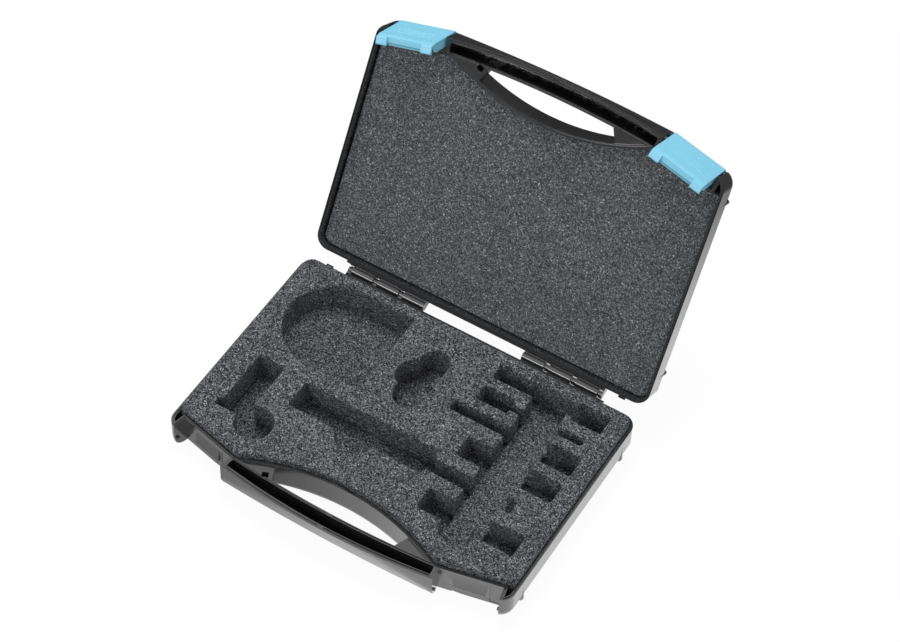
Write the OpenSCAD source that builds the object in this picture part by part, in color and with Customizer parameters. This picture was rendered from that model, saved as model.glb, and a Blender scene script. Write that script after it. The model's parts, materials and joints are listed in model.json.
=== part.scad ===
// Hard plastic tool case, open, with cut foam in the tray.
// Origin: centre of the tray's underside. X runs to the right, Y to the hinges, Z up.

/* [Tray] */
// Width over the side walls
tray_w = 260; // [250:1:300]
// Depth from the rear face to the front of the corner horns
tray_d = 169; // [165:1:185]
// Height of one half, from its outer face to the parting plane
half_h = 24; // [23:0.5:32]
// Wall thickness
wall = 2.4; // [2:0.1:2.8]
// Radius of the upright corners and of the lower edges at the sides and the front
corner_r = 10; // [8:0.5:11]
// Radius of the rear lower edge
rear_edge_r = 4; // [3.5:0.5:8]
// Angle that the lid stands open
lid_open = 118.9; // [90:0.1:125]

/* [Front] */
// How far the arched wall passes behind the horns at its middle
arch_back = 18; // [16:0.5:20]
// Finger room in front of the arch, at its middle
finger_gap = 19.6; // [17:0.2:24]
// Radius of the arch's lower edge
arch_edge_r = 7; // [4:0.5:8]
// Thickness of the handle at the parting plane, at its middle
grip_t = 13.6; // [12:0.2:18]
// Radius of the handle's front line at the parting plane
grip_front_r = 496; // [400:4:600]
// Radius of the handle's finger side
grip_back_r = 781; // [650:1:900]
// Thickness of the handle's inner wall
grip_inner_wall = 2.1; // [1.6:0.1:2.6]
// Thickness of the handle's outer wall
grip_outer_wall = 3.2; // [2:0.1:3.6]
// How far the handle's front leans in towards its lower edge
grip_lean = 4.4; // [2:0.2:6]
// Length of the webs at the ends of the finger opening
web_reach = 23.3; // [18:0.1:30]

/* [Latch recess] */
// Distance of the recess middle from the outside of the side wall
recess_in = 30; // [29:0.5:31]
// Setback of the recess wall from the horns, at its middle
recess_back = 5.2; // [4:0.2:7]
// Slant of the recess wall
recess_slant = 12.7; // [8:0.1:15]
// Half of the recess width
recess_half = 22; // [21:0.1:22.4]
// Radius of the recess wall's lower edge
recess_edge_r = 3; // [2.9:0.1:5]
// Height of the catch ledge below the parting plane
catch_z = 14.5; // [12:0.1:16]
// How far the catch ledge stands out
catch_out = 1.8; // [1:0.1:2]
// Half of the catch width
catch_half = 11; // [8:0.5:11.5]

/* [Latches] */
// Latch width
latch_w = 40.4; // [38:0.1:41]
// Distance of the pivot from the recess wall
pivot_out = 6.8; // [6.4:0.1:7.2]
// Height of the pivot above the parting plane
pivot_z = 15; // [14:0.1:16]
// Radius of the pivot pegs
peg_r = 1.6; // [1.2:0.1:2]
// Running clearance of the latch on its pegs
peg_gap = 0.08; // [0.03:0.01:0.1]
// Thickness of the latch
latch_t = 2.2; // [1.8:0.1:2.4]
// Width of each prong
prong_w = 7.7; // [6:0.1:8.5]

/* [Hinges] */
// Distance of the hinge line behind the rear face
hinge_out = 5.5; // [5.2:0.1:7]
// Radius of the hinge barrels
barrel_r = 3.1; // [2.8:0.1:3.3]
// Distance of a row of barrels from the outside of the side wall
hinge_in = 30.2; // [28:0.1:33]
// Length of each long barrel
barrel_l = 16.9; // [14:0.1:17.5]
// Room between two long barrels
barrel_room = 3.6; // [3:0.1:4.2]
// Gap at each side of a narrow arm
arm_gap = 0.3; // [0.2:0.05:0.5]
// Radius of the steel pins
pin_r = 1.1; // [0.8:0.05:1.4]
// Running clearance round the pins
pin_gap = 0.05; // [0.02:0.01:0.1]

/* [Foam] */
// Height of the tray foam above the parting plane
foam_rise = 5.1; // [2:0.1:6]
// Clearance between foam and shell
foam_gap = 0.2; // [0.2:0.1:1]
// Depth of the deep cut-outs
deep_cut = 22.5; // [20:0.5:24]
// Depth of the finger channel
channel_cut = 16; // [12:0.5:18]
// Radius of the round finger cut-outs
finger_r = 13.2; // [11:0.1:14]
// Clearance between the two foams with the lid shut
foam_meet = 0.3; // [0.2:0.1:2]

/* [Hidden] */
$fn = 64;
fine = 360;
rear = tray_d / 2;
front = -tray_d;

// Cutting shapes run past the solids by these amounts, upwards and sideways
over = 12;
far = 70;
// Joined shapes run this far into each other
lap = 0.2;
eps = 0.01;

recess_x = tray_w / 2 - recess_in;

// The arch ends at the horns, beside the recesses
arch_half = recess_x - 26;
arch_r = (arch_half * arch_half + arch_back * arch_back) / (2 * arch_back);
arch_y = front + arch_back - arch_r;
grip_back_y = front + arch_back - finger_gap;
grip_front_y = grip_back_y - grip_t;
grip_edge_r = 10;
grip_finger_r = 4;
grip_low_r = 1500;
grip_reach = recess_x - 12;
grip_steps = 11;
grip_root = 6;
// The handle's front is upright this far below the parting plane
grip_land = 0.5;
hollow_end = recess_x - 23;
// Round edges meet the outer face at a slight angle
edge_dip = 0.15;
// The outer walls round in at this depth below the parting plane
edge_start = half_h - grip_edge_r;

// Rim detail: a low tongue on one half of the rim and its groove on the other
tongue_in = 0.8;
tongue_t = 0.8;
tongue_h = 0.8;
groove_gap = 0.2;
rim_back = -14;
tongue_start = 3;
groove_start = 2;

// The same on the handle's outer wall, and finer on its inner one
grip_tongue_in = 1.6;
inner_tongue_in = 0.8;
inner_tongue_t = 0.5;

// Web that fills the pointed ends of the finger opening
web_drop = 1.2;
web_t = 2.2;
web_wall_h = 7.5;
web_wall_t = 1.2;
web_slant = 24;
web_x = arch_half - web_reach;
web_y = arch_y + sqrt(arch_r * arch_r - web_x * web_x);
window_w = 4.4;
window_l = 5;
window_in = 2.8;
window_down = 4.6;

// Catch and mould lines of a latch recess
catch_ramp = 9.5;
catch_lip = 0.6;
line_w = 0.6;
line_x = 13.6;
line_low = 19.9;
line_h = 17;
pad_r = 2.5;
pad_gap = 0.3;
nub_r = 1.2;

// Stacking fins on the side walls
fin_t = 1.2;
fin_top = 4.5;
fin_low = 1.2;
fin_out = 0.4;
fin_foot = 1.4;
fin_foot_h = 4;
fin_places = [20, 148];

// Hinge leaves stand on a proud band of the rear face
band_out = 1.5;
band_h = 9;
band_x = tray_w / 2 - 32;
leaf_gap = 0.4;
leaf_low = 8.4;
stop_out = 1.6;
stop_h = 3;
stop_w = 5;
stop_left = tray_w / 2 - 15;
hinges_each = 3;
pitch = barrel_l + barrel_room;
hinge_end = tray_w / 2 - hinge_in;
hinge_x = hinge_end - hinges_each * pitch + arm_gap;

// Latch section
plate_half = latch_t / 2;
knuckle_r = 3.3;
latch_side_t = 2;
toe_gap = 0.5;
toe_z = half_h - 4.2;
bend_in = 0.6;
bend_bead = 0.02;
heel_rise = 0.6;
side_low = 11;
side_gap = 0.8;
hook_gap = 0.3;
hook_t = 1.5;
hook_edge = 0.4;
lip_drop = 1.2;
grip_lines = 3;
grip_line_top = 1;
grip_line_r = 0.45;
grip_line_pitch = 3.6;
grip_line_half = 13;

// The foam's cut-outs are laid out for a tray of this width and depth, and follow when it changes
layout_w = 260;
layout_d = 169;
fit_x = tray_w / layout_w;
fit_y = tray_d / layout_d;
fit_r = min(fit_x, fit_y);
channel_left = 63.3;
channel_right = 88.6;
channel_back = 20;
channel_end = 138.9;

// The photographed pieces, named one by one

// Placing

// From shell space, with the parting plane at z = 0 and the rear face at y = 0, to the case's own frame
module in_case() {
    translate([0, rear, half_h]) children();
}

// From the shut lid to the open one
module in_lid() {
    in_case()
        translate([0, hinge_out, 0])
            rotate([-lid_open, 0, 0])
                translate([0, -hinge_out, 0]) children();
}

// A latch recess: x along its wall, -y out of it
module at_recess() {
    translate([recess_x, front + recess_back, 0]) rotate([0, 0, recess_slant]) children();
}

// Both sides of what is drawn for the right one
module both_sides() {
    children();
    mirror([1, 0, 0]) children();
}

// Lays a section drawn as [out, height] along the x axis, out being -y
module along_x(x0, x1) {
    translate([x0, 0, 0])
        rotate([90, 0, 90])
            linear_extrude(x1 - x0) mirror([1, 0]) children();
}

// The tray

// Section of a tub with a round lower edge at each side
module tub_section(half, depth, r_left, r_right) {
    translate([r_left - half, -depth]) square([2 * half - r_left - r_right, depth]);
    for (edge = [[-1, r_left], [1, r_right]]) scale([edge[0], 1]) {
        translate([0, edge[1] - depth]) square([half, depth - edge[1] + over]);
        translate([half - edge[1], edge[1] - depth]) circle(edge[1]);
    }
}

// Half of a round post with a round lower end
module corner_section(depth, r) {
    translate([0, r - depth]) square([r, depth - r + over]);
    intersection() {
        translate([0, r - depth]) circle(r);
        translate([0, -depth]) square([r, r + eps]);
    }
}

// Run of the tub from left to right
module tub_across(half_x, half_y, depth, r_front, r_rear) {
    rotate([90, 0, 90])
        linear_extrude(2 * half_x, center = true) tub_section(half_y, depth, r_front, r_rear);
}

// Run of the tub from front to rear
module tub_along(half_x, half_y, depth, r) {
    rotate([90, 0, 0]) linear_extrude(2 * half_y, center = true) tub_section(half_x, depth, r, r);
}

// The plain tub, its walls set in by an inset
module tub(inset) {
    r = corner_r - inset;
    r_rear = max(rear_edge_r - inset, 0.5);
    half_x = tray_w / 2 - inset;
    half_y = tray_d / 2 - inset;
    depth = half_h - inset;
    translate([0, front / 2, 0]) {
        tub_along(half_x, half_y - r, depth, r);
        tub_across(half_x - r, half_y, depth, r, r_rear);
        for (x = [-1, 1]) {
            translate([x * (half_x - r), r - half_y, 0]) rotate_extrude() corner_section(depth, r);
            intersection() {
                tub_across(half_x + over, half_y, depth, r, r_rear);
                tub_along(half_x, half_y + over, depth, r);
                translate([x * (half_x - r), half_y - r, -depth - over])
                    cylinder(r = r, h = depth + 2 * over);
            }
        }
    }
}

// Section that ends at a wall, grown into it by g, and flares under the wall's round lower edge
module wall_section(start, reach, edge_r, g) {
    r = max(edge_r - g, 0.2);
    mid_z = edge_r - half_h - edge_dip;
    low = half_h + over;
    translate([start, -low]) square([reach + edge_r - r - start, low + over]);
    difference() {
        translate([reach + edge_r - r - eps, -low]) square([r, low + mid_z]);
        translate([reach + edge_r, mid_z]) circle(r);
    }
}

// Room in front of the arched wall, grown into the wall by g
module arch_room(g) {
    translate([0, arch_y, 0])
        rotate_extrude($fn = fine) wall_section(0, arch_r, arch_edge_r, g);
}

// Room of one latch recess, grown into its wall by g
module recess_room(g, x0, x1) {
    at_recess() along_x(x0, x1) mirror([1, 0]) wall_section(-far, 0, recess_edge_r, g);
}

// Side of the handle's inner wall that faces the fingers
module finger_side() {
    translate([0, grip_back_y + grip_back_r, 0])
        rotate_extrude($fn = 2 * fine) wall_section(grip_back_r - far, grip_back_r, grip_finger_r, 0);
}

// The whole opening for the fingers
module finger_room() {
    intersection() {
        arch_room(0);
        finger_side();
    }
}

// What the foam and the cavity keep clear of at the front; side_end is where the recess wall ends
module front_room(g, side_end) {
    arch_room(g);
    both_sides() recess_room(g, -far, side_end);
}

// The handle

// Front line of the handle at a share of its lean, set in by an inset
function grip_line(lean, inset) =
    [for (i = [-grip_steps:grip_steps])
        let (x = i * grip_reach / grip_steps,
             bulge = (1 - lean) * x * x / (2 * grip_front_r) + lean * x * x / (2 * grip_low_r))
        [x, grip_front_y + lean * grip_lean + inset + bulge]];

// Outline of the handle at one height
module grip_outline(lean, inset) {
    polygon(concat(grip_line(lean, inset),
                   [[grip_reach, front + grip_root], [-grip_reach, front + grip_root]]));
}

module grip_slice(z, lean, inset) {
    translate([0, 0, z]) linear_extrude(eps) grip_outline(lean, inset);
}

// Loft of the handle's front from its bulging parting line to its straighter lower edge
module grip_form(inset) {
    r = grip_edge_r - inset;
    hull() {
        grip_slice(over, 0, inset);
        grip_slice(-grip_land, 0, inset);
        for (a = [15:15:90])
            grip_slice(-edge_start - r * sin(a), 1, inset + r * (1 - cos(a)));
    }
}

// Hollow of the handle, open at the parting plane
module grip_hollow() {
    difference() {
        grip_form(grip_outer_wall);
        translate([0, grip_back_y + grip_back_r, -half_h - lap])
            cylinder(r = grip_back_r + grip_inner_wall, h = half_h + 2 * over, $fn = 2 * fine);
        both_sides() recess_room(wall, -recess_half - wall, far);
        both_sides() translate([hollow_end, front - far, -half_h - lap])
            cube([far, 2 * far, half_h + 2 * over]);
    }
}

// Web at one pointed end of the finger opening, with the wall that ends it
module web() {
    intersection() {
        translate([web_x, web_y, -web_drop]) rotate([0, 0, -web_slant]) {
            translate([0, -far, -web_t]) cube([far, 2 * far, web_t]);
            translate([0, -far, -web_wall_h]) cube([web_wall_t, 2 * far, web_wall_h]);
        }
        translate([0, arch_y, -half_h]) cylinder(r = arch_r + lap, h = half_h, $fn = fine);
        translate([0, grip_back_y + grip_back_r, -half_h])
            cylinder(r = grip_back_r + lap, h = half_h, $fn = 2 * fine);
    }
}

// The rim

// Outline of the tray at the rim, set in by an inset
module rim_outline(inset) {
    r = corner_r - inset;
    difference() {
        union() {
            for (x = [-1, 1], y = [-1, 1])
                translate([x * (tray_w / 2 - corner_r), front / 2 + y * (tray_d / 2 - corner_r)]) circle(r);
            translate([-tray_w / 2 + inset, front + corner_r])
                square([tray_w - 2 * inset, tray_d - 2 * corner_r]);
            translate([-tray_w / 2 + corner_r, front + inset])
                square([tray_w - 2 * corner_r, tray_d - 2 * inset]);
        }
        translate([0, arch_y]) circle(arch_r + inset, $fn = fine);
        for (side = [-1, 1]) scale([side, 1]) translate([recess_x, front + recess_back])
            rotate(recess_slant) translate([-far, -far]) square([far + recess_half + inset, far + inset]);
    }
}

// Band along the rim between two insets, on the side walls and the front
module rim_band(inset, t) {
    difference() {
        rim_outline(inset);
        rim_outline(inset + t);
        translate([-tray_w, rim_back]) square([2 * tray_w, far]);
    }
}

// Lines along the handle's two walls, grown by g
module grip_bands(g) {
    intersection() {
        union() {
            difference() {
                grip_outline(0, grip_tongue_in - g);
                grip_outline(0, grip_tongue_in + tongue_t + g);
            }
            translate([0, grip_back_y + grip_back_r]) difference() {
                circle(grip_back_r + inner_tongue_in + inner_tongue_t + g, $fn = 2 * fine);
                circle(grip_back_r + inner_tongue_in - g, $fn = 2 * fine);
            }
        }
        translate([-hollow_end, grip_front_y]) square([2 * hollow_end, front + grip_root - grip_front_y]);
    }
}

// Lines of the whole rim, grown by g
module rim_lines(g) {
    rim_band(tongue_in - g, tongue_t + 2 * g);
    grip_bands(g);
}

// One side of the case's centre line, as seen from above
module half_plane(side, gap) {
    translate([side > 0 ? gap : -tray_w, -2 * tray_d]) square([tray_w - gap, 3 * tray_d]);
}

module rim_tongue() {
    translate([0, 0, -lap])
        linear_extrude(lap + tongue_h) intersection() {
            rim_lines(0);
            half_plane(-1, tongue_start);
        }
}

module rim_groove() {
    translate([0, 0, -tongue_h - groove_gap])
        linear_extrude(over) intersection() {
            rim_lines(groove_gap);
            half_plane(1, groove_start);
        }
}

// Details of a latch recess

module catch_ledge() {
    at_recess()
        along_x(-catch_half, catch_half)
            polygon([[-lap, catch_ramp - catch_z], [0, catch_ramp - catch_z],
                     [catch_out, catch_lip - catch_z], [catch_out, -catch_z], [-lap, -catch_z]]);
}

// Bosses at both ends of a recess: pads with the latch pegs, or only nubs
module recess_bosses(pegs) {
    end_pad = recess_half - latch_w / 2 - pad_gap;
    at_recess() for (side = [-1, 1])
        translate([side * recess_half, -pivot_out, -pivot_z])
            rotate([0, -90 * side, 0]) {
                translate([0, 0, -lap]) cylinder(r = pegs ? pad_r : nub_r, h = end_pad + lap);
                if (pegs) cylinder(r = peg_r, h = end_pad + pad_gap + latch_side_t);
            }
}

// Fine slider line near the right end of each recess
module mould_lines() {
    for (side = [-1, 1]) scale([side, 1, 1]) at_recess() {
        translate([side * line_x - line_w / 2, -lap, -line_low]) cube([line_w, lap + line_w, line_h]);
        translate([side > 0 ? line_x : -recess_half - lap, -lap, -line_low])
            cube([recess_half - line_x + lap, lap + line_w, line_w]);
    }
}

// Fins

module side_fin(y) {
    r = corner_r;
    translate([tray_w / 2 - r, -y + fin_t / 2, 0])
        rotate([90, 0, 0])
            linear_extrude(fin_t) difference() {
                polygon([[0, -fin_top], [r, -fin_top], [r + fin_out, fin_foot_h - half_h],
                         [r - fin_foot, fin_low - half_h], [0, fin_low - half_h]]);
                translate([0, -half_h + wall]) square([r - 2 * wall, half_h]);
            }
}

// Hinges

// Section of a leaf with its barrel, out being +y
module leaf_section() {
    translate([hinge_out, 0]) circle(barrel_r);
    polygon([[0, -leaf_gap], [hinge_out, -leaf_gap], [hinge_out + barrel_r * cos(45), -barrel_r * sin(45)],
             [band_out, -leaf_low], [0, -leaf_low]]);
}

module leaf(x0, x1) {
    translate([x0, 0, 0]) rotate([90, 0, 90]) linear_extrude(x1 - x0) leaf_section();
}

module hinge_bore(x0, x1, r) {
    translate([x0 - 1, hinge_out, 0]) rotate([0, 90, 0]) cylinder(r = r, h = x1 - x0 + 2);
}

// Long barrels, with room between them for the arms of the other half
module long_barrels() {
    for (i = [0:hinges_each - 1]) difference() {
        x0 = hinge_x + i * pitch;
        leaf(x0, x0 + barrel_l);
        hinge_bore(x0, x0 + barrel_l, pin_r + pin_gap);
    }
}

module narrow_arms() {
    for (i = [0:hinges_each - 1]) difference() {
        x0 = -hinge_x - (i + 1) * pitch + arm_gap;
        x1 = x0 + barrel_room - 2 * arm_gap;
        leaf(x0, x1);
        hinge_bore(x0, x1, pin_r + pin_gap);
    }
}

module rear_band() {
    translate([-band_x, -lap, -band_h]) cube([2 * band_x, lap + band_out, band_h]);
    for (x = [band_x, -stop_left]) translate([x, -lap, -stop_h]) cube([stop_w, lap + stop_out, stop_h]);
}

// One half of the case

module solid_half() {
    difference() {
        union() {
            tub(0);
            grip_form(0);
            rear_band();
            both_sides() for (y = fin_places) side_fin(y);
        }
        both_sides() recess_room(0, -recess_half, recess_half);
        finger_room();
        translate([-tray_w, -2 * tray_d, 0]) cube([2 * tray_w, 3 * tray_d, 2 * over]);
    }
}

// The window's side is -1 or 1; the lid's half carries the latch pegs
module half_shell(window, pegs) {
    difference() {
        union() {
            difference() {
                solid_half();
                difference() {
                    tub(wall);
                    front_room(wall, recess_half + wall);
                }
                grip_hollow();
            }
            both_sides() web();
            both_sides() catch_ledge();
            both_sides() recess_bosses(pegs);
            rim_tongue();
            long_barrels();
            narrow_arms();
        }
        rim_groove();
        mould_lines();
        scale([window, 1, 1]) translate([web_x, web_y, -half_h / 2]) rotate([0, 0, -web_slant])
            translate([window_in, -window_down - window_l, 0]) cube([window_w, window_l, half_h]);
    }
}

module base_shell() {
    color([0.13, 0.14, 0.15]) in_case() half_shell(-1, false);
}

module lid_shell() {
    color([0.13, 0.14, 0.15]) in_lid() rotate([0, 180, 0]) half_shell(1, true);
}

// Pins

module hinge_pin(x) {
    translate([x, hinge_out, 0]) rotate([0, 90, 0]) cylinder(r = pin_r, h = hinge_end - hinge_x);
}

module right_hinge_pin() {
    color([0.7, 0.71, 0.72]) in_case() hinge_pin(hinge_x);
}

module left_hinge_pin() {
    color([0.7, 0.71, 0.72]) in_lid() hinge_pin(-hinge_end);
}

// Latches

// Straight run of the latch plate with round ends, drawn as [out, height]
module plate_run(a, b) {
    d = b - a;
    translate(a) circle(plate_half + bend_bead);
    translate(b) circle(plate_half + bend_bead);
    translate(a) rotate(atan2(d[1], d[0])) translate([0, -plate_half]) square([norm(d), latch_t]);
}

// Middle line of the plate, from its knuckle over three bends to its toe, as [out, height]
plate_top = [pivot_out + knuckle_r - plate_half, pivot_z + 0.6];
plate_mid = [pivot_out, -pivot_z / 2];
plate_bend = [pivot_out - bend_in, -catch_z];
plate_heel = [pivot_out - bend_in - plate_half, plate_half + heel_rise - toe_z];
plate_toe = [toe_gap + plate_half, plate_half - toe_z];

module latch_plate() {
    plate_run(plate_top, plate_mid);
    plate_run(plate_mid, plate_bend);
    plate_run(plate_bend, plate_heel);
    plate_run(plate_heel, plate_toe);
}

module latch_side() {
    translate([pivot_out, pivot_z]) circle(knuckle_r);
    polygon([[pivot_out - knuckle_r, pivot_z], plate_top, plate_mid, plate_bend, [side_gap, -side_low]]);
}

module hook_section() {
    top = -catch_z - hook_gap;
    polygon([[toe_gap, top], [plate_bend[0], top + hook_edge], [plate_bend[0], top - hook_t],
             [toe_gap + hook_edge, top - hook_t], [toe_gap, top - hook_t + hook_edge]]);
}

// The right latch in the space of its recess
module latch() {
    half = latch_w / 2;
    mid = half - prong_w;
    lip_low = -catch_z - hook_gap - hook_t - lip_drop;
    difference() {
        union() {
            along_x(-half, half) latch_plate();
            for (side = [-1, 1])
                along_x(side > 0 ? half - latch_side_t : -half, side > 0 ? half : latch_side_t - half)
                    latch_side();
            along_x(-mid - lap, mid + lap) hook_section();
            for (i = [0:grip_lines - 1]) {
                z = grip_line_top - i * grip_line_pitch;
                share = (plate_top[1] - z) / (plate_top[1] - plate_mid[1]);
                out = plate_top[0] + (plate_mid[0] - plate_top[0]) * share;
                translate([-grip_line_half, lap - out - plate_half, z])
                    rotate([0, 90, 0]) cylinder(r = grip_line_r, h = 2 * grip_line_half);
            }
        }
        translate([-mid, -over, lip_low - over]) cube([2 * mid, 2 * over, over]);
        translate([-half - over, -pivot_out, pivot_z])
            rotate([0, 90, 0]) cylinder(r = peg_r + peg_gap, h = latch_w + 2 * over);
    }
}

module right_latch() {
    color([0.53, 0.82, 0.92]) in_lid() at_recess() latch();
}

module left_latch() {
    color([0.53, 0.82, 0.92]) in_lid() mirror([1, 0, 0]) at_recess() latch();
}

// Foam

// Foam that fills a half of the case up to a height, short of the corner horns
module foam_block(z0, z1) {
    intersection() {
        difference() {
            tub(wall + foam_gap);
            front_room(wall + foam_gap, far);
        }
        translate([-tray_w, -2 * tray_d, z0]) cube([2 * tray_w, 3 * tray_d, z1 - z0]);
    }
}

// Rectangle from its left, right, rear and front edges
module pocket(left, right, back, low) {
    translate([left * fit_x, -low * fit_y]) square([(right - left) * fit_x, (low - back) * fit_y]);
}

// Round cut from its middle
module round_cut(x, y, r) {
    translate([x * fit_x, -y * fit_y]) circle(r);
}

// Cut-out with a half-round left end
module round_pocket() {
    back = 10.5;
    low = 80.6;
    start = -78.8;
    round_cut(start, (back + low) / 2, (low - back) / 2 * fit_y);
    pocket(start, -36.6, back, low);
}

// Waisted cut-out made of three rounds
module bean_pocket() {
    round_cut(-6, 34.5, 10 * fit_r);
    round_cut(-12.5, 50.5, 12.4 * fit_r);
    round_cut(-7, 65.5, 11 * fit_r);
    pocket(-16, 4, 34.5, 65.5);
}

// Slots at the left and the front, each with a round for a finger
module slots() {
    pocket(-107, -87.5, 92, 140.2);
    pocket(-110.6, -106.9, 135, 140.2);
    translate([-79.5 * fit_x - finger_r * fit_r, -140 * fit_y]) square([2 * finger_r * fit_r, 5 * fit_y]);
    round_cut(-79.5, 140, finger_r * fit_r);
    pocket(-69, 32.5, 94.5, 115.6);
    polygon([for (p = [[32, 94.5], [32.5, 94.5], [35.2, 100.9], [35.2, 111.1], [32, 111.1]])
             [p[0] * fit_x, -p[1] * fit_y]]);
    pocket(35, channel_left + 0.1, 100.9, 111.1);
    round_cut(-17.8, 114.5, finger_r * fit_r);
}

// Small pockets at both sides of the finger channel
module side_pockets() {
    pocket(32, 93.2, 12.6, 23.8);
    pocket(93.1, 115.3, 11.1, 26.3);
    pocket(31.8, 54.8, 31.9, 44.6);
    pocket(54.7, channel_left + 0.1, 36.4, 41.2);
    pocket(21, channel_left + 0.1, 52.6, 60.9);
    for (y = [73.3, 121.5]) pocket(44.3, channel_left + 0.1, y, y + 17.1);
    pocket(channel_right - 0.1, 109.5, 36.1, 41.2);
    pocket(channel_right - 0.1, 115.2, 49.8, 65.7);
    pocket(channel_right - 0.1, 97.1, 100.7, 111.4);
    for (y = [74, 121.9]) pocket(channel_right - 0.1, 115.1, y, y + 16.8);
}

module deep_pockets() {
    round_pocket();
    bean_pocket();
    slots();
    side_pockets();
}

module finger_channel() {
    middle = (channel_left + channel_right) / 2;
    pocket(channel_left, channel_right, channel_back, channel_end);
    round_cut(middle, channel_end, (channel_right - middle) * fit_x);
}

module foam_top_sheet() {
    color([0.36, 0.37, 0.38]) in_case() difference() {
        foam_block(foam_rise - channel_cut, foam_rise);
        translate([0, 0, -half_h]) linear_extrude(2 * half_h) {
            deep_pockets();
            finger_channel();
        }
    }
}

module foam_middle_sheet() {
    color([0.34, 0.35, 0.36]) in_case() difference() {
        foam_block(foam_rise - deep_cut, foam_rise - channel_cut);
        translate([0, 0, -half_h]) linear_extrude(2 * half_h) deep_pockets();
    }
}

module foam_bottom_sheet() {
    color([0.32, 0.33, 0.34]) in_case() foam_block(-half_h, foam_rise - deep_cut);
}

module lid_foam() {
    color([0.3, 0.31, 0.32]) in_lid() rotate([0, 180, 0]) foam_block(-half_h, -foam_rise - foam_meet);
}

base_shell();
lid_shell();
left_latch();
right_latch();
left_hinge_pin();
right_hinge_pin();
foam_top_sheet();
foam_middle_sheet();
foam_bottom_sheet();
lid_foam();
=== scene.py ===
"""A hard plastic tool case, open, with cut foam in its tray and a foam sheet in its lid."""
import json
from math import cos, pi, radians, sin, sqrt
import bmesh
import bpy
from mathutils import Matrix, Vector


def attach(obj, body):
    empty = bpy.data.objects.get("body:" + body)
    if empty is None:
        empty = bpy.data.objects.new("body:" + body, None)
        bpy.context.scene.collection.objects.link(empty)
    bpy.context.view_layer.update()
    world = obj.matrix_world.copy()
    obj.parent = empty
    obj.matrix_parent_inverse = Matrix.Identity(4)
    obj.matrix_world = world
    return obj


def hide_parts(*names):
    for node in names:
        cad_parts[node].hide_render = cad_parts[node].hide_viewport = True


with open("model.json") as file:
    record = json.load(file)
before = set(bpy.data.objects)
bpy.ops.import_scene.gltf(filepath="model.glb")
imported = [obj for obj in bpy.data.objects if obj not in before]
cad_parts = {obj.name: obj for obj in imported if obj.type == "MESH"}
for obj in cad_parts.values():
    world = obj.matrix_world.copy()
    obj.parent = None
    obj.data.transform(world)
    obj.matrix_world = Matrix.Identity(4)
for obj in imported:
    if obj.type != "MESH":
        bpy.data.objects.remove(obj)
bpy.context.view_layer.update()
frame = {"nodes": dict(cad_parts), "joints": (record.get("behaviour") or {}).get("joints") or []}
scene = bpy.context.scene
MM = 0.001


# Node helpers

def new_material(name):
    """An empty node material with its shader and output, joined."""
    material = bpy.data.materials.new(name)
    material.use_nodes = True
    tree = material.node_tree
    tree.nodes.clear()
    output = tree.nodes.new("ShaderNodeOutputMaterial")
    shader = tree.nodes.new("ShaderNodeBsdfPrincipled")
    tree.links.new(shader.outputs["BSDF"], output.inputs["Surface"])
    return material, tree, shader


def add(tree, kind, values=None, **settings):
    """A node with its settings and socket values; a value that is an output is linked."""
    node = tree.nodes.new(kind)
    for key, value in settings.items():
        setattr(node, key, value)
    for key, value in (values or {}).items():
        if isinstance(value, bpy.types.NodeSocket):
            tree.links.new(value, node.inputs[key])
        else:
            node.inputs[key].default_value = value
    return node


def place_of(tree):
    """The place on a piece in its own coordinates, in metres."""
    return add(tree, "ShaderNodeTexCoord").outputs["Object"]


def noise(tree, place, size, detail=2.0, roughness=0.5):
    """Noise with grains of about the given size in metres."""
    return add(tree, "ShaderNodeTexNoise", {"Vector": place, "Scale": 1 / size, "Detail": detail,
                                            "Roughness": roughness}).outputs["Fac"]


def remap(tree, value, low, high, to_low, to_high):
    """A value's range stretched to another range, and held at its ends."""
    return add(tree, "ShaderNodeMapRange", {"Value": value, "From Min": low, "From Max": high,
                                            "To Min": to_low, "To Max": to_high}).outputs["Result"]


def math_node(tree, operation, a, b=0.5):
    return add(tree, "ShaderNodeMath", {0: a, 1: b}, operation=operation).outputs["Value"]


def mix_colour(tree, share, a, b):
    """Colour a at share 0 and colour b at share 1; sockets 6, 7 and output 2 are the node's colour ones."""
    return add(tree, "ShaderNodeMix", {0: share, 6: a, 7: b}, data_type="RGBA").outputs[2]


def bump(tree, height, distance, strength=1.0, normal=None):
    """A normal that leans with a height, on top of another normal if one is given."""
    values = {"Height": height, "Distance": distance, "Strength": strength}
    if normal is not None:
        values["Normal"] = normal
    return add(tree, "ShaderNodeBump", values).outputs["Normal"]


def grey(value):
    return (value, value, value, 1.0)


# Materials

def moulded_plastic(name, dark, light, roughness, edge, ior, coat, coat_ior):
    """Injection moulded plastic: slight flow marks, fine mould grain, rubbed patches, soft edges."""
    material, tree, shader = new_material(name)
    place = place_of(tree)
    flow = noise(tree, place, 0.030, 3.0)
    grain = noise(tree, place, 0.0006, 2.0)
    rubbed = noise(tree, place, 0.012, 4.0, 0.6)
    shade = mix_colour(tree, remap(tree, flow, 0.3, 0.7, 0.0, 1.0), dark, light)
    tree.links.new(shade, shader.inputs["Base Color"])
    matt = remap(tree, rubbed, 0.35, 0.75, roughness - 0.04, roughness + 0.06)
    tree.links.new(matt, shader.inputs["Roughness"])
    rounded = add(tree, "ShaderNodeBevel", {"Radius": edge}, samples=16).outputs["Normal"]
    sink = bump(tree, flow, 0.00020, 0.4, rounded)
    tree.links.new(bump(tree, grain, 0.000008, 0.5, sink), shader.inputs["Normal"])
    shader.inputs["IOR"].default_value = ior
    shader.inputs["Coat Weight"].default_value = coat
    shader.inputs["Coat Roughness"].default_value = 0.16
    shader.inputs["Coat IOR"].default_value = coat_ior
    return material


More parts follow.
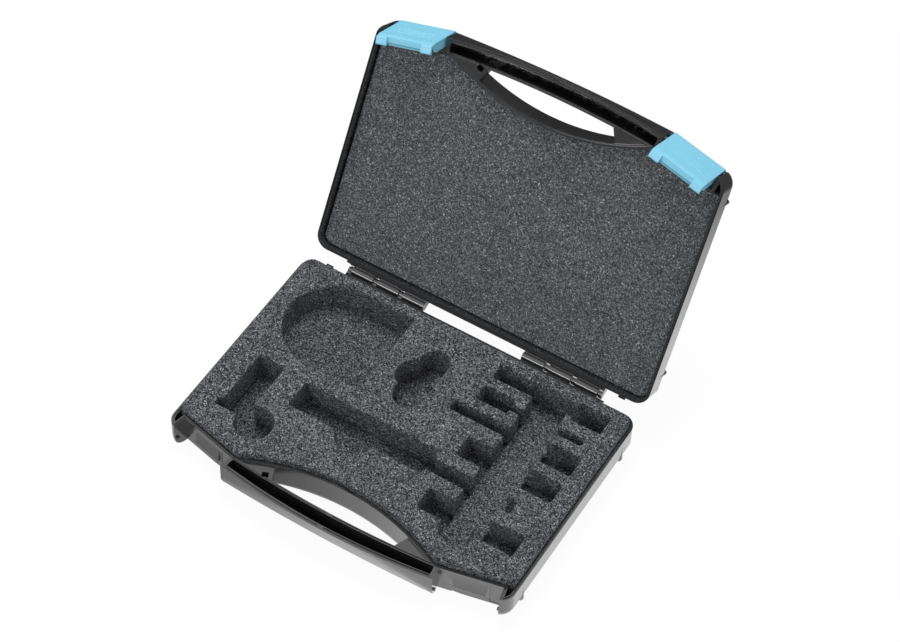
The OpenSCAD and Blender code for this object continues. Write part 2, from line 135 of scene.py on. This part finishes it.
def cell_shade(tree, place, size, low, high):
    """A random value for each cell of about the given size, spread between low and high."""
    cells = add(tree, "ShaderNodeTexVoronoi", {"Vector": place, "Scale": 1 / size}, feature="F1")
    value = add(tree, "ShaderNodeSeparateColor", {"Color": cells.outputs["Color"]}).outputs["Red"]
    return remap(tree, value, 0.0, 1.0, low, high), cells.outputs["Distance"]


def open_cell_foam(name, pore, strut, painted_glint):
    """Charcoal open-cell foam: dark pores and pale struts under a millimetre across, and painted glints,
    highlights painted into the base colour of a few cells.
    """
    material, tree, shader = new_material(name)
    place = place_of(tree)
    cell, edge = cell_shade(tree, place, FOAM_CELL, 0.0, 1.0)
    fine, fine_edge = cell_shade(tree, place, 0.6 * FOAM_CELL, 0.0, 1.0)
    patch = noise(tree, place, 0.018, 2.0)
    both = math_node(tree, "MULTIPLY", math_node(tree, "ADD", cell, fine), 0.5)
    strong = math_node(tree, "POWER", remap(tree, both, 0.2, 0.85, 0.0, 1.0), 2.0)
    body = mix_colour(tree, strong, pore, strut)
    toned = mix_colour(tree, remap(tree, patch, 0.3, 0.7, 0.0, 0.18), body, pore)
    # Painted highlight: the palest few cells take the glint colour, painted glints rather than reflections.
    painted_glint_share = remap(tree, cell, 0.975, 0.99, 0.0, 1.0)
    shown = mix_colour(tree, painted_glint_share, toned, painted_glint)
    tree.links.new(shown, shader.inputs["Base Color"])
    height = math_node(tree, "ADD", both, edge)
    tree.links.new(bump(tree, height, 0.0005, 0.8), shader.inputs["Normal"])
    shader.inputs["Roughness"].default_value = 0.85
    shader.inputs["Specular IOR Level"].default_value = 0.3
    shader.inputs["Sheen Weight"].default_value = 0.08
    shader.inputs["Sheen Roughness"].default_value = 0.5
    return material


def drawn_steel(name):
    """Drawn steel rod, with fine lines along it."""
    material, tree, shader = new_material(name)
    place = place_of(tree)
    stretched = add(tree, "ShaderNodeMapping", {"Vector": place, "Scale": (0.03, 1.0, 1.0)})
    lines = noise(tree, stretched.outputs["Vector"], 0.0002, 3.0)
    shade = mix_colour(tree, lines, (0.42, 0.43, 0.44, 1), (0.62, 0.63, 0.64, 1))
    tree.links.new(shade, shader.inputs["Base Color"])
    tree.links.new(remap(tree, lines, 0.3, 0.7, 0.25, 0.42), shader.inputs["Roughness"])
    tree.links.new(bump(tree, lines, 0.00002, 0.5), shader.inputs["Normal"])
    shader.inputs["Metallic"].default_value = 1.0
    return material


FOAM_CELL = 0.00078
case_black = moulded_plastic("case_black_plastic", (0.0125, 0.013, 0.0145, 1), (0.018, 0.0185, 0.020, 1),
                             0.24, 0.00022, 1.6, 1.0, 1.7)
latch_blue = moulded_plastic("latch_blue_plastic", (0.245, 0.660, 0.870, 1), (0.260, 0.685, 0.895, 1),
                             0.36, 0.0005, 1.5, 0.15, 1.5)
pin_steel = drawn_steel("pin_drawn_steel")
tray_foam = open_cell_foam("tray_foam", (0.006, 0.007, 0.009, 1), (0.39, 0.40, 0.43, 1),
                           (0.50, 0.52, 0.55, 1))
# Painted light: the lid's foam is the tray's foam with its pores painted paler and its struts a little
# darker, tones set for how the lid's foam is lit.
lid_foam_painted_lighter = open_cell_foam("lid_foam", (0.040, 0.045, 0.049, 1), (0.34, 0.36, 0.375, 1),
                                 (0.50, 0.52, 0.54, 1))


def dress(node, material):
    """Gives a CAD node's object one material."""
    piece = frame["nodes"][node]
    piece.data.materials.clear()
    piece.data.materials.append(material)


for node in ("left_latch", "right_latch"):
    dress(node, latch_blue)
for node in ("left_hinge_pin", "right_hinge_pin"):
    dress(node, pin_steel)


# Shells

lid_hinge = next(joint for joint in frame["joints"] if joint["name"] == "lid_hinge")
hinge = Vector(lid_hinge["pos_m"])
lid_turn = radians(lid_hinge["range_deg"][1])
HINGE_OUT = 5.5 * MM           # hinge line to the rear face
ROW_START = 38.6 * MM          # ends of a row of barrels, from the middle
ROW_END = 99.8 * MM
PITCH = 20.5 * MM              # length of a barrel and the room for an arm beside it
ROOM = 3.6 * MM                # room for an arm
ARM_GAP = 0.3 * MM             # between an arm and the barrels beside it
BARREL_R = 3.1 * MM
EYE_R = 1.9 * MM               # what stays of the arms above the hinge line
CUT_OVER = 0.5 * MM            # how far the cuts reach past the barrels
SEAT_START, SEAT_END = 184, 240  # angles as arc() takes them
SEAT_DEPTH = 5.0 * MM          # below the hinge line
BAND_OUT = 1.5 * MM            # how far the band along the rear face stands out
OVERLAP = 0.2 * MM             # of a seat with that band
WEB_SPOT = (50.7 * MM, -74.69 * MM)  # corner of the web at the end of the finger opening
WEB_SLANT = radians(24)
WINDOW_FLOOR = [(0.4, -9.0), (3.2, -9.0), (10.5, -5.2), (10.5, 1.0), (0.4, 0.6)]  # mm, from that corner
FLOOR_LOW, FLOOR_TOP = 7.4 * MM, 6.6 * MM  # below the parting plane
GRIP_CENTRE_Y = 694.9 * MM     # centre of the arcs of the handle's inner wall
GRIP_ARCS = (781.0 * MM, 783.1 * MM)
PATCH_START, PATCH_END = 48.0 * MM, 57.0 * MM
PATCH_LOW, PATCH_TOP = 11.9 * MM, 2.5 * MM  # below the parting plane
PATCH_STEPS = 6
WELD = 0.002 * MM              # points closer than this are one
RIM_GAP = 0.02 * MM            # keeps the rims of the shut case apart


def prism(shape, outline, low, high, place):
    """Adds a closed prism: the outline's points (x, y), from z low to z high, put in place by a matrix."""
    rings = [[shape.verts.new(place @ Vector((x, y, z))) for x, y in outline] for z in (low, high)]
    shape.faces.new(rings[0][::-1])
    shape.faces.new(rings[1])
    count = len(outline)
    for i in range(count):
        j = (i + 1) % count
        shape.faces.new((rings[0][i], rings[0][j], rings[1][j], rings[1][i]))


def arc(radius, start, end, steps):
    """Points on an arc round the hinge line, angles in degrees from straight back, upwards positive."""
    angles = [radians(start + (end - start) * i / steps) for i in range(steps + 1)]
    return [(radius * cos(a), radius * sin(a)) for a in angles]


def along_hinge(place):
    """From (back, up, along) round the hinge line to the tray's frame."""
    axes = Matrix(((0, 0, 1, 0), (1, 0, 0, 0), (0, 1, 0, 0), (0, 0, 0, 1)))
    return place @ Matrix.Translation(hinge) @ axes


def room_ends():
    """Outer ends of the three rooms for arms, from the middle."""
    return [ROW_START + (i + 1) * PITCH for i in range(3)]


def draw_additions(shape, place, side):
    """Seats below the other half's barrels and arms, the wall beside the web's window, and its floor."""
    seat = arc(BARREL_R + ARM_GAP, SEAT_START, SEAT_END, 8)
    rear = BAND_OUT - OVERLAP - HINGE_OUT
    seat += [(rear, -SEAT_DEPTH), (rear, seat[0][1])]
    prism(shape, seat, -ROW_END, -ROW_START, along_hinge(place))
    for end in room_ends():
        prism(shape, seat, end - ROOM - 2 * ARM_GAP, end + ARM_GAP, along_hinge(place))
    half = place @ Matrix.Diagonal((side, 1, 1, 1)) @ Matrix.Translation((0, 0, hinge.z))
    xs = [PATCH_START + (PATCH_END - PATCH_START) * i / PATCH_STEPS for i in range(PATCH_STEPS + 1)]
    near, far = [[(x, GRIP_CENTRE_Y - sqrt(r * r - x * x)) for x in xs] for r in GRIP_ARCS]
    prism(shape, far + near[::-1], -PATCH_LOW, -PATCH_TOP, half)
    web = half @ Matrix.Translation((*WEB_SPOT, 0)) @ Matrix.Rotation(-WEB_SLANT, 4, "Z")
    prism(shape, [(x * MM, y * MM) for x, y in WINDOW_FLOOR], -FLOOR_LOW, -FLOOR_TOP, web)


def draw_cuts(shape, place, side):
    """What is taken off the narrow arms above the hinge line, on both halves alike."""
    half_ring = arc(BARREL_R + CUT_OVER, 0, 180, 16) + arc(EYE_R, 180, 0, 12)
    for end in room_ends():
        prism(shape, half_ring, -end + ARM_GAP / 2, -end + ROOM - ARM_GAP / 2, along_hinge(place))


def new_mesh(shape, name):
    """The plain mesh of a bmesh shape, which is freed."""
    mesh = bpy.data.meshes.new(name)
    shape.to_mesh(mesh)
    shape.free()
    return mesh


def welded(mesh):
    """A bmesh shape of a mesh, with its double points merged."""
    shape = bmesh.new()
    shape.from_mesh(mesh)
    bmesh.ops.remove_doubles(shape, verts=shape.verts, dist=WELD)
    return shape


def helper(name, draw, place, side):
    """A closed mesh object for a Boolean, drawn in the tray's frame and then put in place."""
    shape = bmesh.new()
    draw(shape, place, side)
    bmesh.ops.recalc_face_normals(shape, faces=shape.faces)
    item = bpy.data.objects.new(name, new_mesh(shape, name))
    scene.collection.objects.link(item)
    return item


def apply_modifiers(piece):
    """Turns a piece's evaluated shape into its plain mesh."""
    bpy.context.view_layer.update()
    graph = bpy.context.evaluated_depsgraph_get()
    finished = bpy.data.meshes.new_from_object(piece.evaluated_get(graph))
    piece.modifiers.clear()
    piece.data = finished


def add_and_cut(piece, place, side):
    """Joins the additions to a shell and takes the cuts off it."""
    helpers = []
    for operation, draw in (("UNION", draw_additions), ("DIFFERENCE", draw_cuts)):
        helpers.append(helper(piece.name + "_" + operation.lower(), draw, place, side))
        step = piece.modifiers.new(operation.lower(), "BOOLEAN")
        step.operation = operation
        step.solver = "EXACT"
        step.object = helpers[-1]
    apply_modifiers(piece)
    for item in helpers:
        bpy.data.objects.remove(item)


def cleaned(mesh, name, place):
    """A shell's mesh without slivers, its flat faces joined and its rim set back a hair."""
    shape = welded(mesh)
    bmesh.ops.dissolve_degenerate(shape, edges=shape.edges, dist=WELD)
    bmesh.ops.dissolve_limit(shape, angle_limit=radians(0.05), verts=shape.verts, edges=shape.edges)
    down = place.to_3x3() @ Vector((0, 0, -RIM_GAP))
    own_half = place.inverted()
    for point in shape.verts:
        if abs((own_half @ point.co).z - hinge.z) < WELD:
            point.co += down
    return new_mesh(shape, name)


def shade_evenly(piece):
    """Smooth shading that stops at edges and follows the large faces."""
    piece.data.polygons.foreach_set("use_smooth", [True] * len(piece.data.polygons))
    piece.data.set_sharp_from_angle(angle=radians(25))
    even = piece.modifiers.new("even", "WEIGHTED_NORMAL")
    even.keep_sharp = True
    apply_modifiers(piece)


def moulding(node, name, body, place, side):
    """A shell with the finer forms of its hinge arms, its seats and the web's window on the given side."""
    piece = bpy.data.objects.new(name, new_mesh(welded(frame["nodes"][node].data), name))
    scene.collection.objects.link(piece)
    add_and_cut(piece, place, side)
    piece.data = cleaned(piece.data, name, place)
    piece.data.materials.append(case_black)
    shade_evenly(piece)
    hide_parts(node)
    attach(piece, body)


turned_over = (Matrix.Translation((0, 0, hinge.z)) @ Matrix.Rotation(pi, 4, "Y")
               @ Matrix.Translation((0, 0, -hinge.z)))
opened = Matrix.Translation(hinge) @ Matrix.Rotation(-lid_turn, 4, "X") @ Matrix.Translation(-hinge)
moulding("base_shell", "base_moulding", "base", Matrix.Identity(4), -1)
moulding("lid_shell", "lid_moulding", "lid", opened @ turned_over, 1)


# Foam

PIT_SIZE = 1.8 * MM
PIT_DEPTH = 0.8 * MM


def foam_tree(material):
    """Geometry Nodes tree that turns a plain solid into cut foam: an even skin, pitted with open cells."""
    tree = bpy.data.node_groups.new("cut_foam_" + material.name, "GeometryNodeTree")
    tree.is_modifier = True
    tree.interface.new_socket("Solid", in_out="INPUT", socket_type="NodeSocketGeometry")
    sockets = {}
    for name, value in (("Skin Spacing", 1.0 * MM), ("Cell Size", PIT_SIZE), ("Pit Depth", PIT_DEPTH)):
        sockets[name] = tree.interface.new_socket(name, in_out="INPUT", socket_type="NodeSocketFloat")
        sockets[name].default_value = value
    tree.interface.new_socket("Foam", in_out="OUTPUT", socket_type="NodeSocketGeometry")
    start = tree.nodes.new("NodeGroupInput")
    end = tree.nodes.new("NodeGroupOutput")
    merged = add(tree, "GeometryNodeMergeByDistance", {"Geometry": start.outputs["Solid"],
                                                       "Distance": 0.01 * MM})
    volume = add(tree, "GeometryNodeMeshToVolume", {"Mesh": merged.outputs["Geometry"],
                                                    "Voxel Size": start.outputs["Skin Spacing"],
                                                    "Interior Band Width": 2 * MM},
                 resolution_mode="VOXEL_SIZE")
    skin = add(tree, "GeometryNodeVolumeToMesh", {"Volume": volume.outputs["Volume"], "Threshold": 0.05},
               resolution_mode="GRID")
    scale = math_node(tree, "DIVIDE", 1.0, start.outputs["Cell Size"])
    cells = add(tree, "ShaderNodeTexVoronoi", {"Scale": scale}, feature="F1")
    grain = add(tree, "ShaderNodeTexNoise", {"Scale": scale, "Detail": 2.0})
    pits = math_node(tree, "MULTIPLY", cells.outputs["Distance"], grain.outputs["Fac"])
    depth = math_node(tree, "MULTIPLY", pits, start.outputs["Pit Depth"])
    inward = math_node(tree, "MULTIPLY", depth, -1.0)
    normal = tree.nodes.new("GeometryNodeInputNormal")
    push = add(tree, "ShaderNodeVectorMath", {0: normal.outputs["Normal"], "Scale": inward},
               operation="SCALE")
    moved = add(tree, "GeometryNodeSetPosition", {"Geometry": skin.outputs["Mesh"],
                                                  "Offset": push.outputs["Vector"]})
    whole = add(tree, "GeometryNodeRealizeInstances", {"Geometry": moved.outputs["Geometry"]})
    dressed = add(tree, "GeometryNodeSetMaterial", {"Geometry": whole.outputs["Geometry"],
                                                    "Material": material})
    tree.links.new(dressed.outputs["Geometry"], end.inputs["Foam"])
    return tree, sockets


def cut_foam(node, name, body, material, spacing):
    """A foam piece in place of its CAD solid, its faces pitted with cells and its cut edges softened."""
    piece = bpy.data.objects.new(name, frame["nodes"][node].data.copy())
    scene.collection.objects.link(piece)
    tree, sockets = foam_tree(material)
    shaping = piece.modifiers.new("cut foam", "NODES")
    shaping.node_group = tree
    shaping[sockets["Skin Spacing"].identifier] = spacing
    shaping[sockets["Cell Size"].identifier] = PIT_SIZE
    shaping[sockets["Pit Depth"].identifier] = PIT_DEPTH
    apply_modifiers(piece)
    piece.data.polygons.foreach_set("use_smooth", [True] * len(piece.data.polygons))
    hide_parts(node)
    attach(piece, body)


cut_foam("foam_top_sheet", "tray_foam_top", "base", tray_foam, 0.8 * MM)
cut_foam("foam_middle_sheet", "tray_foam_middle", "base", tray_foam, 1.0 * MM)
cut_foam("foam_bottom_sheet", "tray_foam_bottom", "base", tray_foam, 1.0 * MM)
cut_foam("lid_foam", "lid_foam_sheet", "lid", lid_foam_painted_lighter, 0.9 * MM)


# Floor, light and camera

TABLE_CENTRE = (0.10, -0.25, 0.0)
TABLE_REACH = 0.42
TABLE_FADE = 0.2
FLOOR_REACH = 2.5
FLOOR_BELOW = 0.2 * MM


def floor_material():
    """White to the camera with the object's shadow left in, and a glowing white table to whatever mirrors
    it, with painted shade darkening that table's glow on its negative x side.
    """
    material = bpy.data.materials.new("pale_floor")
    material.use_nodes = True
    tree = material.node_tree
    tree.nodes.clear()
    path = add(tree, "ShaderNodeLightPath")
    place = place_of(tree)
    from_centre = add(tree, "ShaderNodeVectorMath", {0: place, 1: TABLE_CENTRE}, operation="SUBTRACT")
    away = add(tree, "ShaderNodeVectorMath", {0: from_centre.outputs["Vector"]}, operation="LENGTH")
    table = remap(tree, away.outputs["Value"], TABLE_REACH, TABLE_REACH + TABLE_FADE, 1.0, 0.1)
    across = add(tree, "ShaderNodeSeparateXYZ", {"Vector": place}).outputs["X"]
    # Painted shadow: to mirrors the table glows at about half strength on its negative x side, shade
    # painted into its reflection.
    mirrored = math_node(tree, "MULTIPLY", table, remap(tree, across, -0.05, 0.07, 0.48, 1.0))
    seen = math_node(tree, "MULTIPLY", path.outputs["Is Camera Ray"], 1.024)
    glow = math_node(tree, "MAXIMUM", seen, mirrored)
    glossy_share = remap(tree, table, 0.1, 1.0, 1.0, 0.9)
    to_mirror = math_node(tree, "MULTIPLY", path.outputs["Is Glossy Ray"], glossy_share)
    to_camera = math_node(tree, "MULTIPLY", path.outputs["Is Camera Ray"], 0.92)
    share = math_node(tree, "MAXIMUM", to_camera, to_mirror)
    plain = add(tree, "ShaderNodeBsdfDiffuse", {"Color": grey(0.82)})
    white = add(tree, "ShaderNodeEmission", {"Color": grey(1.0), "Strength": glow})
    both = add(tree, "ShaderNodeMixShader", {0: share, 1: plain.outputs[0], 2: white.outputs[0]})
    output = tree.nodes.new("ShaderNodeOutputMaterial")
    tree.links.new(both.outputs[0], output.inputs["Surface"])
    return material


floor_mesh = bpy.data.meshes.new("floor")
corners = [(x * FLOOR_REACH, y * FLOOR_REACH, 0) for x, y in ((-1, -1), (1, -1), (1, 1), (-1, 1))]
floor_mesh.from_pydata(corners, [], [(0, 1, 2, 3)])
floor = bpy.data.objects.new("floor", floor_mesh)
floor.location.z = -FLOOR_BELOW
scene.collection.objects.link(floor)
floor_mesh.materials.append(floor_material())

world = bpy.data.worlds.new("studio")
scene.world = world
world.use_nodes = True
tree = world.node_tree
tree.nodes.clear()
path = add(tree, "ShaderNodeLightPath")
direction = add(tree, "ShaderNodeTexCoord").outputs["Generated"]
height = add(tree, "ShaderNodeSeparateXYZ", {"Vector": direction}).outputs["Z"]
ceiling = remap(tree, height, 0.05, 0.80, 0.10, 0.85)
plain = remap(tree, path.outputs["Is Glossy Ray"], 0.0, 1.0, 0.55, 0.0)
mirrored = math_node(tree, "MULTIPLY", path.outputs["Is Glossy Ray"], ceiling)
unseen = math_node(tree, "ADD", plain, mirrored)
strength = math_node(tree, "MAXIMUM", path.outputs["Is Camera Ray"], unseen)
background = add(tree, "ShaderNodeBackground", {"Color": grey(1.0), "Strength": strength})
world_output = tree.nodes.new("ShaderNodeOutputWorld")
tree.links.new(background.outputs[0], world_output.inputs["Surface"])


def softbox(name, spot, aim, width, power, mirrored):
    """A square area light that looks at a point, seen in reflections or not."""
    lamp = bpy.data.lights.new(name, "AREA")
    lamp.shape = "SQUARE"
    lamp.size = width
    lamp.energy = power
    item = bpy.data.objects.new(name, lamp)
    scene.collection.objects.link(item)
    item.location = spot
    item.rotation_euler = (Vector(aim) - Vector(spot)).to_track_quat("-Z", "Y").to_euler()
    item.visible_glossy = mirrored


middle = (0.0, 0.05, 0.05)
softbox("top_light", (-0.30, 0.55, 1.8), middle, 0.9, 16.0, False)
softbox("front_light", (-0.49, -1.2, 0.92), middle, 0.5, 4.0, True)

CAMERA_SPOT = (0.518527, -0.866057, 1.406431)
VIEW_RIGHT = Vector((0.852379, 0.522076, 0.029783))
VIEW_AHEAD = Vector((-0.304179, 0.541341, -0.783853))
FOCAL_PIXELS = 2610.9
IMAGE_WIDTH = 900.0
camera_data = bpy.data.cameras.new("camera")
camera_data.sensor_width = 36.0
camera_data.lens = FOCAL_PIXELS * camera_data.sensor_width / IMAGE_WIDTH
camera = bpy.data.objects.new("camera", camera_data)
scene.collection.objects.link(camera)
back = -VIEW_AHEAD.normalized()
right = (VIEW_RIGHT - back * VIEW_RIGHT.dot(back)).normalized()
up = back.cross(right)
turn = Matrix(((right.x, up.x, back.x), (right.y, up.y, back.y), (right.z, up.z, back.z)))
camera.matrix_world = Matrix.Translation(CAMERA_SPOT) @ turn.to_4x4()
scene.camera = camera
scene.view_settings.view_transform = "Standard"
